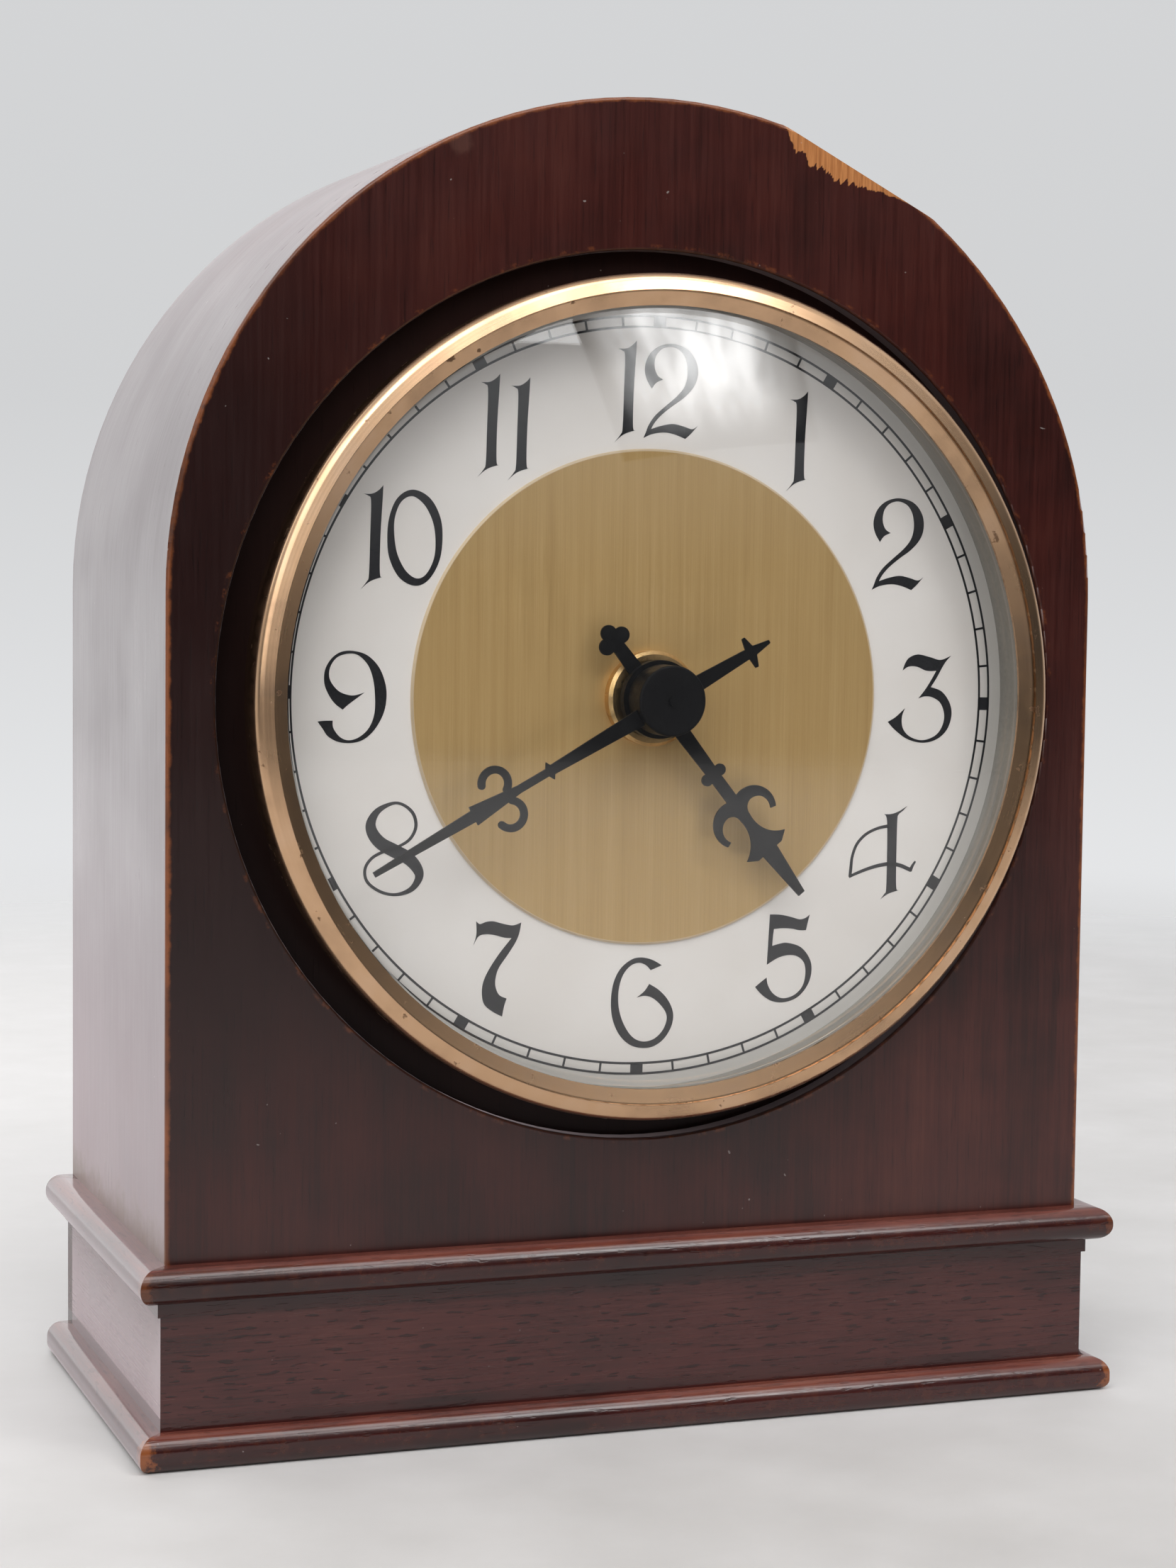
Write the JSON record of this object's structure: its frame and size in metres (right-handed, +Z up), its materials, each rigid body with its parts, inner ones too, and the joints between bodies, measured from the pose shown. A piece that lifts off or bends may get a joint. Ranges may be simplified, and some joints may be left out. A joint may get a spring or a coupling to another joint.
{
  "type": "beehive shelf clock",
  "caption": "Arched wooden shelf clock on a stepped base, with a domed glass in a brass bezel, a round dial with two hands, a battery movement and a hinged back door.",
  "frame": {"origin": "middle of the base's underside, on the surface that the clock stands on", "axes": "+Z up, -Y towards the viewer of the dial, +X to the right seen from the front"},
  "size_m": [0.158, 0.0983, 0.2015],
  "materials": {
    "mahogany": "satin lacquer over dark stained mahogany, worn at the edges",
    "door_board": "stained board, duller than the front",
    "raw_wood": "bare softwood",
    "bezel_brass": "polished, with small tarnish spots",
    "glass": "clear, polished",
    "dial_white": "off-white satin with dark print",
    "dial_gold": "fine upright brushing",
    "dial_edge": "grey, satin",
    "hand_black": "black satin paint",
    "fitting_brass": "plain turned and stamped brass",
    "washer_rubber": "matt",
    "movement_black": "fine moulded grain",
    "gear_plastic": "natural moulded plastic",
    "magnet_grey": "sintered magnet",
    "zinc_steel": "zinc plated",
    "coil_copper": "enamelled copper wire",
    "bobbin_plastic": "moulded",
    "circuit_brown": "resin board",
    "resin_black": "potted resin",
    "cell_jacket": "plain jacket"
  },
  "bodies": {
    "case": {"front_panel": "mahogany", "hood": "mahogany", "upper_moulding": "mahogany", "lower_moulding": "mahogany", "plinth_front": "mahogany", "plinth_left": "mahogany", "plinth_right": "mahogany", "plinth_back": "mahogany", "plinth_blocks": "raw_wood", "case_blocks": "raw_wood", "bezel": "bezel_brass", "lens": "glass", "dial": "dial_white", "dial_centre": "dial_gold", "dial_ring": "dial_edge", "dial_retainer": "dial_edge", "bush_nut": "fitting_brass", "threaded_bush": "fitting_brass", "hinge_case_leaves": "fitting_brass", "hinge_pins": "fitting_brass", "hinge_case_screws": "fitting_brass", "bush_washer": "washer_rubber", "movement_front": "movement_black", "movement_back": "movement_black", "catch_magnet": "movement_black", "train_plate": "gear_plastic", "base_screws": "zinc_steel", "case_screws": "zinc_steel", "clamp_ring": "zinc_steel", "stator": "zinc_steel", "coil_core": "zinc_steel", "crystal_can": "zinc_steel", "plus_contact": "zinc_steel", "minus_contact": "zinc_steel", "coil_winding": "coil_copper", "coil_bobbin": "bobbin_plastic", "circuit_board": "circuit_brown", "driver_chip": "resin_black", "battery": "cell_jacket"},
    "minute": {"centre_arbor": "fitting_brass", "minute_hand": "hand_black", "hand_cap": "hand_black", "setting_knob": "movement_black"},
    "hour": {"hour_wheel": "gear_plastic", "hour_hand": "hand_black"},
    "motion": {"minute_wheel": "gear_plastic"},
    "centre": {"centre_wheel": "gear_plastic"},
    "third": {"third_wheel": "gear_plastic"},
    "fourth": {"fourth_wheel": "gear_plastic"},
    "rotor": {"rotor": "magnet_grey"},
    "door": {"back_door": "door_board", "hinge_door_leaves": "fitting_brass", "hinge_door_screws": "fitting_brass", "door_knob": "fitting_brass", "strike_plate": "zinc_steel"}
  },
  "joints": [
    {"name": "minute_turn", "type": "hinge", "parent": "case", "child": "minute", "pos_m": [0, -0.0245, 0.1117], "axis": [0, 1, 0], "continuous": true},
    {"name": "hour_turn", "type": "hinge", "parent": "case", "child": "hour", "pos_m": [0, -0.0245, 0.1117], "axis": [0, 1, 0], "continuous": true},
    {"name": "centre_turn", "type": "hinge", "parent": "case", "child": "centre", "pos_m": [0, -0.0245, 0.1117], "axis": [0, 1, 0], "continuous": true},
    {"name": "motion_turn", "type": "hinge", "parent": "case", "child": "motion", "pos_m": [-0.00945, -0.0245, 0.11003], "axis": [0, 1, 0], "continuous": true},
    {"name": "third_turn", "type": "hinge", "parent": "case", "child": "third", "pos_m": [0.0054, -0.0245, 0.12105], "axis": [0, 1, 0], "continuous": true},
    {"name": "fourth_turn", "type": "hinge", "parent": "case", "child": "fourth", "pos_m": [-0.00445, -0.0245, 0.12369], "axis": [0, 1, 0], "continuous": true},
    {"name": "rotor_turn", "type": "hinge", "parent": "case", "child": "rotor", "pos_m": [-0.0127, -0.0245, 0.12369], "axis": [0, 1, 0], "continuous": true},
    {"name": "door_swing", "type": "hinge", "parent": "case", "child": "door", "pos_m": [0.0677, 0.03925, 0.08], "axis": [0, 0, -1], "range_deg": [0, 170]}
  ],
  "couplings": [
    {"joint": "hour_turn", "follows": "minute_turn", "ratio": 0.083333},
    {"joint": "motion_turn", "follows": "minute_turn", "ratio": -0.33333},
    {"joint": "third_turn", "follows": "fourth_turn", "ratio": -0.13333},
    {"joint": "centre_turn", "follows": "fourth_turn", "ratio": 0.016667},
    {"joint": "rotor_turn", "follows": "fourth_turn", "ratio": -10}
  ]
}
